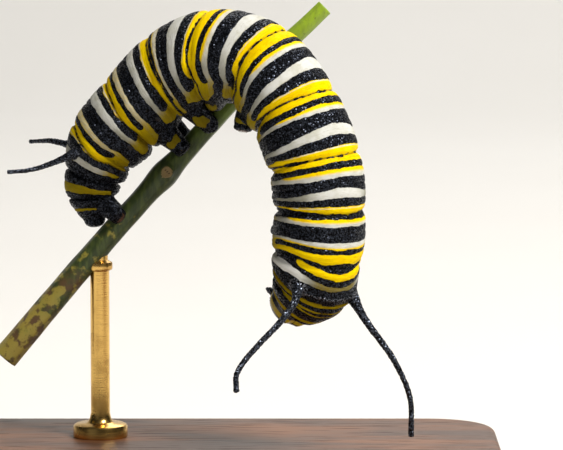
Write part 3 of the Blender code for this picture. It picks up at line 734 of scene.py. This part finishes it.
# Each foot of the belly grips with a curved row of minute hooks along the inner edge of its sole. They are
# of hard brown horn, and are left out where a foot is pressed against the stem.
hook = Finish("foot_hooks")
hook_brown = hook.mix(hook.cloud(0.05 * MM, 1), colour(70, 38, 16), colour(110, 66, 30))
hook.set({"Base Color": hook_brown, "Roughness": 0.3})
HOOKS_PER_FOOT, HOOK_LENGTH, HOOK_RADIUS = 15, 0.15 * MM, 0.022 * MM
bm = bmesh.new()
for root, beside, behind, out, foot, size, turn, u in FEET:
    down = (foot - root).normalized()
    inner = square_to(down, beside * turn)
    onward = down.cross(inner)
    for k in range(HOOKS_PER_FOOT):
        angle = radians(-75 + 150 * k / (HOOKS_PER_FOOT - 1))
        way = cos(angle) * inner + sin(angle) * onward
        start = foot + down * 0.02 * MM + way * 0.5 * size
        middle, place = nearest_on_stem(start)
        if (start - middle).length < stem_radius(place) + 0.2 * MM:
            continue
        found = bmesh.ops.create_cone(bm, cap_ends=True, segments=6, radius1=1.0, radius2=0.1, depth=1.0)
        for vert in found["verts"]:
            a, b, c = vert.co
            bend = (c + 0.5) ** 2 * 0.6
            vert.co = start + (way * a + way.cross(down) * b) * HOOK_RADIUS + (
                down * (c + 0.5) - way * bend) * HOOK_LENGTH
add_piece("foot_hooks", bm, hook, "striped_skin")


# The head is a hard black shell of two rounded lobes, with two yellow arches across the face. Under it hang
# the notched upper lip, the jaws and the small feelers, and low on each side sit six bead-like eyes.
HEAD_HALF = Vector((1.75, 1.4, 1.8)) * MM
HEAD_MIDDLE = Vector((5.78, 0.95, 13.32)) * MM
HEAD_TUCK = radians(15)
_, neck_tailward, neck_back, neck_right, _, _ = section(0.0)
head_forward = -neck_tailward * cos(HEAD_TUCK) - neck_back * sin(HEAD_TUCK)
head_upward = neck_back * cos(HEAD_TUCK) - neck_tailward * sin(HEAD_TUCK)
CHIN = -HEAD_HALF.z
HEAD_MARKS = ("yellow", "suture")
PLAIN_BLACK = -0.3  # a yellow mark that lies well inside the black


def on_head(x, y, z):
    """A point given from the middle of the head: to its right, forward and upward."""
    return HEAD_MIDDLE + neck_right * x + head_forward * y + head_upward * z


def shell_place(way):
    """The head's surface in a direction from its middle, with how far it lies in a yellow arch and in a
    suture."""
    x, y, z = way
    narrow = 1 - 0.3 * max(0.0, -z) ** 1.5
    cleft = 0.12 * max(0.0, z) ** 2 * max(0.0, 1 - (x / 0.3) ** 2)
    side = abs(x)
    face = smooth(-0.1, 0.3, y)
    triangle = 0.44 * (0.22 - z) / 0.8
    seam = exp(-((side / 0.035) ** 2)) * smooth(0.1, 0.25, z) * smooth(-0.6, 0.2, y)
    if -0.58 < z < 0.22:
        seam = max(seam, exp(-(((side - triangle) / 0.03) ** 2)) * face)
    seam = max(seam, 0.8 * exp(-(((z + 0.58) / 0.03) ** 2)) * face * smooth(0.62, 0.5, side))
    sunk = 0.035 * smooth(0.04, -0.04, side - triangle) * face * smooth(-0.62, -0.56, z)
    inner = 0.075 - hypot(side - max(0.0, triangle) - 0.13, max(0.0, z - 0.42, -0.62 - z) * 1.2)
    outer = 0.17 - hypot(y - 0.17 + 0.12 * z, max(0.0, -0.55 - z))
    yellow = max(inner * 1.6 if face > 0.3 else PLAIN_BLACK, outer * 1.4)
    size = 1 - 0.02 * seam - sunk
    flat = 0.88 if y > 0 else 1.0
    point = on_head(x * narrow * HEAD_HALF.x * size, y * flat * HEAD_HALF.y * size,
                    (z - cleft) * HEAD_HALF.z * size)
    return point, yellow, seam


shell = Finish("black_head_shell")
arch, suture = map(shell.mark, HEAD_MARKS)
shell_fray = shell.cloud(0.2 * MM, 2) - 0.5
painted = (arch + shell_fray * 0.08).step(-0.03, 0.03)
pit = shell.grains(0.16 * MM)
shell_ink = shell.mix(shell.cloud(0.8 * MM, 2), colour(10, 10, 12), colour(26, 26, 30))
shell_yellow = shell.mix(shell.cloud(0.5 * MM, 2), colour(200, 172, 16), colour(160, 140, 24))
shell_tint = shell.mix(painted, shell_ink, shell_yellow)
shell_tint = shell.mix(suture * 0.7, shell_tint, colour(8, 7, 6))
shell.set({"Base Color": shell_tint, "Roughness": 0.34 + painted * 0.1,
           "Coat Weight": 0.25, "Coat Roughness": 0.15})
shell.bump(0.02 * pit.step(0.0, 0.5) - 0.02 * suture)

bm = bmesh.new()
layers = [bm.verts.layers.float.new(mark) for mark in HEAD_MARKS]
bmesh.ops.create_cube(bm, size=1.0)  # the upper lip, notched in the middle of its lower edge
bmesh.ops.subdivide_edges(bm, edges=bm.edges, cuts=9, use_grid_fill=True)
for vert in bm.verts:
    x, y, z = vert.co.lerp(vert.co.normalized() * 0.62, 0.4)
    notch = 0.2 * exp(-((x / 0.14) ** 2)) * max(0.0, 0.1 - z)
    vert.co = on_head(x * 1.1 * MM, (0.93 + y * 0.3 + 0.08 * (0.25 - x * x)) * MM,
                      CHIN * 0.82 + (z + notch) * 0.5 * MM)
    vert[layers[0]] = PLAIN_BLACK
for turn in (-1, 1):  # the jaws, each a short curved tooth with a scalloped edge
    found = bmesh.ops.create_uvsphere(bm, u_segments=32, v_segments=20, radius=1.0)
    for vert in found["verts"]:
        x, y, z = vert.co
        edge = 1 - 0.45 * max(0.0, -z)
        notch = 0.06 * sin(9 * y) * max(0.0, -z)
        vert.co = on_head(turn * (0.42 + 0.4 * x * edge - 0.1 * max(0.0, -z)) * MM,
                          (0.55 + 0.38 * y * edge) * MM, CHIN * 0.92 + (0.5 * z + notch) * MM)
        vert[layers[0]] = PLAIN_BLACK
found = bmesh.ops.create_icosphere(bm, subdivisions=7, radius=1.0)
for vert in found["verts"]:
    vert.co, vert[layers[0]], vert[layers[1]] = shell_place(vert.co.copy())
add_piece("head_shell", bm, shell, "black_cuticle", "head")


# The eyes are six small polished beads on each side of the head, set in the shell low on the cheek, five of
# them in a half ring and one inside it. Each row is the distance from their middle and the angle round it.
EYE_RING = [(0.17, 10), (0.16, 55), (0.17, 100), (0.18, 145), (0.17, 200), (0.08, 300)]
EYE_RADIUS, EYE_SUNK = 0.085 * MM, 0.015 * MM
EYES_MIDDLE = (0.76, 0.6, -0.36)  # to the side, forward and upward from the middle of the head
gloss = Finish("eye_bead")
bead_brown = gloss.mix(gloss.cloud(0.1 * MM, 1), colour(14, 10, 8), colour(38, 28, 20))
gloss.set({"Base Color": bead_brown, "Roughness": 0.08, "Coat Weight": 1.0, "Coat Roughness": 0.03})
bm = bmesh.new()
for turn in (-1, 1):
    hub = Vector((turn * EYES_MIDDLE[0], *EYES_MIDDLE[1:])).normalized()
    one = square_to(hub, Vector((0, 0, 1)))
    other = hub.cross(one)
    for distance, angle in EYE_RING:
        way = (hub + (one * cos(radians(angle)) + other * sin(radians(angle)) * turn) * distance).normalized()
        middle = shell_place(way)[0]
        found = bmesh.ops.create_uvsphere(bm, u_segments=16, v_segments=10, radius=EYE_RADIUS)
        bmesh.ops.translate(bm, verts=found["verts"],
                            vec=middle - (middle - HEAD_MIDDLE).normalized() * EYE_SUNK)
add_piece("side_eyes", bm, gloss, "black_cuticle")


# The feelers hang beside the jaws, each of three short black tubes that fit one into the next. Between them
# the lower lip bears two pairs of small palps. All are of black horn with the same grains as the skin.
horn = Finish("black_cuticle")
horn_glint = 1 - horn.grains(GRAIN).step(0.35, 0.65)
horn_ink = horn.mix(horn.cloud(0.8 * MM, 2), colour(3, 3, 4), colour(9, 9, 12))
horn.set({"Base Color": horn.mix(horn_glint, horn_ink, colour(84, 90, 102)), "Metallic": horn_glint,
          "Roughness": 0.5 - horn_glint * 0.18, "Specular IOR Level": 0.05})
horn.bump(1.0 * horn.facets(GRAIN))


def limb(along, around, line, radii, joints=(), knobbly=0.0):
    """A closed, tapered tube through points, drawn in at its joints, given as shares of its length."""
    skew = Vector((0.31, 0.87, 0.38))  # a direction that no limb runs in
    root_end, tip_start = 0.012, 0.965  # shares of the sheet

    def place(v, w):
        t = v * (len(line) - 1)
        middle = curve_value(line, t)
        ahead = curve_value(line, min(len(line) - 1, t + 0.05)) - curve_value(line, max(0, t - 0.05))
        ahead = ahead.normalized()
        side = square_to(ahead, skew)
        outward = cos(2 * pi * w) * side + sin(2 * pi * w) * ahead.cross(side)
        size = curve_value(radii, t)
        for joint in joints:
            size *= 1 - 0.22 * exp(-(((v - joint) / 0.018) ** 2))
        lump = knobbly * (noise.noise((middle + outward * size) / (0.13 * MM))
                          + 0.6 * noise.noise((middle + outward * size) / (0.3 * MM)))
        root, tip = max(0.0, 1 - v / root_end), max(0.0, (v - tip_start) / (1 - tip_start))
        closed = (1 - root**2) * max(0.0, 1 - tip**2) ** 0.5
        return (middle + outward * (size + lump * MM) * closed,)

    return rolled(along, around, place)


for side, turn in (("right", 1), ("left", -1)):
    root = on_head(turn * 0.95 * MM, 0.75 * MM, CHIN * 0.66)
    out = (on_head(turn * 1.02 * MM, 1.35 * MM, CHIN * 1.05) - root).normalized()
    line = [root + out * k * MM for k in (-0.1, 0.1, 0.3, 0.5, 0.62, 0.78, 0.95)]
    radii = [k * MM for k in (0.27, 0.28, 0.25, 0.23, 0.17, 0.14, 0.06)]
    add_piece("feeler_" + side, limb(60, 24, line, radii, (0.34, 0.62)), horn, "black_cuticle",
              "antenna_" + side)

bm = bmesh.new()
for turn in (-1, 1):  # the lower lip's pair of small jointed palps beside the silk spout
    for x, length, radius in ((0.3, 0.42, 0.12), (0.14, 0.3, 0.07)):
        found = bmesh.ops.create_uvsphere(bm, u_segments=16, v_segments=12, radius=1.0)
        for vert in found["verts"]:
            a, b, c = vert.co
            taper = 1 - 0.35 * max(0.0, -c)
            vert.co = on_head((turn * x + a * radius * taper) * MM, (0.12 + b * radius * taper) * MM,
                              CHIN * 0.98 + (c * length / 2 - 0.12) * MM)
add_piece("lower_lip_palps", bm, horn, "black_cuticle")


# A few short fine hairs stand on the head and round its mouth. They are stiff and black, and each is bent a
# little to one side. They are spread evenly by the golden angle, and none stands on the back of the head.
HAIRS, HAIR_LENGTH, HAIR_RADIUS = 46, 0.3 * MM, 0.011 * MM


def across(direction):
    """Two directions square to a direction and to each other."""
    one = direction.orthogonal().normalized()
    return one, direction.cross(one).normalized()


bm = bmesh.new()
for k in range(HAIRS):
    height, around = 0.75 - 1.45 * ((k * 0.618) % 1), 2 * pi * ((k * 0.381966) % 1)
    way = Vector((cos(around) * (1 - height**2) ** 0.5, sin(around) * (1 - height**2) ** 0.5, height))
    if way.y < -0.1:
        continue
    foot = shell_place(way)[0]
    out = (foot - HEAD_MIDDLE).normalized()
    one, other = across(out)
    found = bmesh.ops.create_cone(bm, cap_ends=True, segments=5, radius1=1.0, radius2=0.15, depth=1.0)
    for vert in found["verts"]:
        a, b, c = vert.co
        bent = out * c + one * 0.25 * (c + 0.5) ** 2
        vert.co = foot + (one * a + other * b) * HAIR_RADIUS + bent * HAIR_LENGTH
add_piece("head_hairs", bm, horn, "black_cuticle")


# Three pairs of walking legs stand under the thorax. Each is a row of short hard black tubes that fold on
# soft joints, narrowing to one hooked claw, and all are bent in towards the mouth.

# Each pair's degrees off the back, its length, and how far its outer end leans towards the head
LEGS = [(167, 1.75 * MM, 0.0), (172, 1.85 * MM, 0.1), (164, 1.8 * MM, 0.35)]
# A leg's way from the body, in shares of its length outward, inward and towards the head, each with the
# radius there in millimetres
LEG_WAY = [(-0.12, 0.0, 0.0, 0.5), (0.0, 0.0, 0.0, 0.5), (0.16, -0.01, 0.01, 0.5), (0.3, -0.02, 0.02, 0.47),
           (0.42, 0.0, 0.04, 0.39), (0.55, 0.04, 0.07, 0.38), (0.68, 0.1, 0.1, 0.33), (0.78, 0.2, 0.12, 0.25),
           (0.87, 0.3, 0.125, 0.23), (0.93, 0.39, 0.12, 0.15), (0.985, 0.46, 0.09, 0.09),
           (1.0, 0.51, 0.05, 0.035)]
LEG_JOINTS = (0.3, 0.52, 0.7)
for i, (angle, length, lean) in enumerate(LEGS):
    for side, turn in (("right", 1), ("left", -1)):
        middle, tailward, _, right, _, _ = section(i + 0.5)
        root = body_point(i + 0.5, turn * angle)
        outward = (root - middle).normalized()
        line = []
        for out, inward, forward, _ in LEG_WAY:
            headward = forward + lean * out * abs(out)
            line.append(root + (outward * out - right * turn * inward - tailward * headward) * length)
        radii = [radius * MM for _, _, _, radius in LEG_WAY]
        add_piece(f"walking_leg_{i + 1}_{side}", limb(110, 36, line, radii, LEG_JOINTS), horn,
                  "black_cuticle", f"leg_{i + 1}_{side}")


# Two pairs of soft black filaments, long ones behind the head and short ones near the rump, each standing on
# a black knob of the skin. They are solid, tapered, blunt at the tip and rough with fine grains.

# Each filament: its place on the body, its way from there, and its radius at the root and at the tip, in
# millimetres
FILAMENTS = {
    "front_right": ((1.45, 52), [(5.95, -5.2, 14.17), (4.9, -6.6, 12.9), (3.2, -8.9, 11.4),
                                 (2.0, -10.5, 10.0), (1.9, -11.3, 8.8)], 0.36, 0.2),
    "front_left": ((1.28, -46), [(11.2, -2.3, 12.3), (13.0, -2.6, 9.8), (14.2, -2.9, 7.1), (14.3, -3.2, 4.4)],
                   0.38, 0.2),
    "rear_right": ((10.5, 42), [(-12.2, 4.3, 23.0), (-13.5, 4.0, 22.7), (-14.8, 3.8, 22.6)], 0.32, 0.15),
    "rear_left": ((10.5, -42), [(-11.9, 8.2, 24.5), (-12.8, 9.3, 24.4), (-13.6, 10.2, 24.3)], 0.32, 0.15),
}
FILAMENT_POINTS, FILAMENT_ROUGHNESS = 14, 0.035
for name, (place, way, root_radius, tip_radius) in FILAMENTS.items():
    course = [body_point(*place)] + [Vector(p) * MM for p in way]
    line, radii = [body_point(*place, share=0.85)], [root_radius * 1.2 * MM]
    for k in range(FILAMENT_POINTS):
        t = k / (FILAMENT_POINTS - 1)
        line.append(curve_value(course, t * (len(course) - 1)))
        swelling = 0.3 * max(0.0, 1 - t * 6) - 0.18 * sin(pi * t) ** 0.7
        radii.append((root_radius + (tip_radius - root_radius) * t ** 0.6) * (1 + swelling) * MM)
    line.append(line[-1] + (line[-1] - line[-2]).normalized() * tip_radius * 0.8 * MM)
    radii.append(tip_radius * 0.8 * MM)
    steps = 520 if name.startswith("front") else 280
    add_piece("filament_" + name, limb(steps, 40, line, radii, knobbly=FILAMENT_ROUGHNESS), horn,
              "black_cuticle", "tentacle_" + name)


# The studio is a pale floor of matt paper that curves up into a pale wall. A soft light stands high on the
# right in front, with a weak broad fill on the left, a light from behind and one for the wall. The camera
# looks a little down, at the photo's angle, and keeps the photo's frame.
EYE_LEVEL, EYE_DISTANCE = radians(6), 280 * MM
AIM = Vector((5.04, -1.6, 19.3)) * MM
FRAME_WIDTH, FRAME_SCALE = 563, 14.0  # in pixels, and in pixels to the millimetre
SENSOR = 36.0
FLOOR_WIDTH, FLOOR_DEPTH, FLOOR_FRONT, BEND_AT, BEND_RADIUS, BEND_OVER = 2.4, 1.6, 0.6, 0.95, 0.2, 0.3

bm = bmesh.new()
bmesh.ops.create_grid(bm, x_segments=2, y_segments=60, size=0.5)
for vert in bm.verts:
    x, y = vert.co.x * FLOOR_WIDTH, (vert.co.y + 0.5) * FLOOR_DEPTH
    bend = max(0.0, min(1.0, (y - BEND_AT) / BEND_OVER)) * pi / 2
    vert.co = Vector((x, min(y, BEND_AT) - FLOOR_FRONT + BEND_RADIUS * sin(bend),
                      BEND_RADIUS * (1 - cos(bend)) + max(0.0, y - BEND_AT - BEND_OVER)))
mesh = bpy.data.meshes.new("floor_and_wall")
bm.to_mesh(mesh)
bm.free()
mesh.shade_smooth()
paper = Finish("pale_paper")
paper_white = paper.mix(paper.cloud(0.05, 2), colour(238, 236, 231), colour(242, 240, 236))
paper.set({"Base Color": paper_white, "Roughness": 0.9})
mesh.materials.append(paper.material)
floor_piece = bpy.data.objects.new("floor_and_wall", mesh)
bpy.context.scene.collection.objects.link(floor_piece)


def add_light(name, place, size, power, tint, target):
    """A square soft light of so many metres and watts, aimed at a point."""
    lamp = bpy.data.lights.new(name, "AREA")
    lamp.size, lamp.energy, lamp.color = size, power, tint
    light = bpy.data.objects.new(name, lamp)
    light.location = place
    light.rotation_euler = (target - Vector(place)).to_track_quat("-Z", "Y").to_euler()
    bpy.context.scene.collection.objects.link(light)


add_light("key", (0.215, -0.15, 0.41), 0.16, 3.2, (1.0, 0.97, 0.93), AIM)
add_light("fill", (-0.3, -0.42, 0.12), 0.4, 0.06, (0.9, 0.94, 1.0), AIM)
add_light("rim", (0.1, 0.35, 0.35), 0.25, 0.6, (1.0, 1.0, 1.0), AIM)
add_light("wall", (0.0, 0.3, 0.55), 0.5, 0.5, (1.0, 0.99, 0.97), Vector((0, 0.95, 0.25)))

world = bpy.data.worlds.new("studio")
world.use_nodes = True
world.node_tree.nodes["Background"].inputs["Color"].default_value = (0.82, 0.85, 0.9, 1)
world.node_tree.nodes["Background"].inputs["Strength"].default_value = 0.03
bpy.context.scene.world = world
bpy.context.scene.view_settings.view_transform = "Standard"

lens = bpy.data.cameras.new("eye")
lens.sensor_width, lens.lens = SENSOR, SENSOR * EYE_DISTANCE / (FRAME_WIDTH / FRAME_SCALE * MM)
lens.clip_start, lens.clip_end = 0.01, 10.0
camera = bpy.data.objects.new("eye", lens)
looking = Vector((0, cos(EYE_LEVEL), -sin(EYE_LEVEL)))
camera.location = AIM - looking * EYE_DISTANCE
camera.rotation_euler = looking.to_track_quat("-Z", "Y").to_euler()
bpy.context.scene.collection.objects.link(camera)
bpy.context.scene.camera = camera
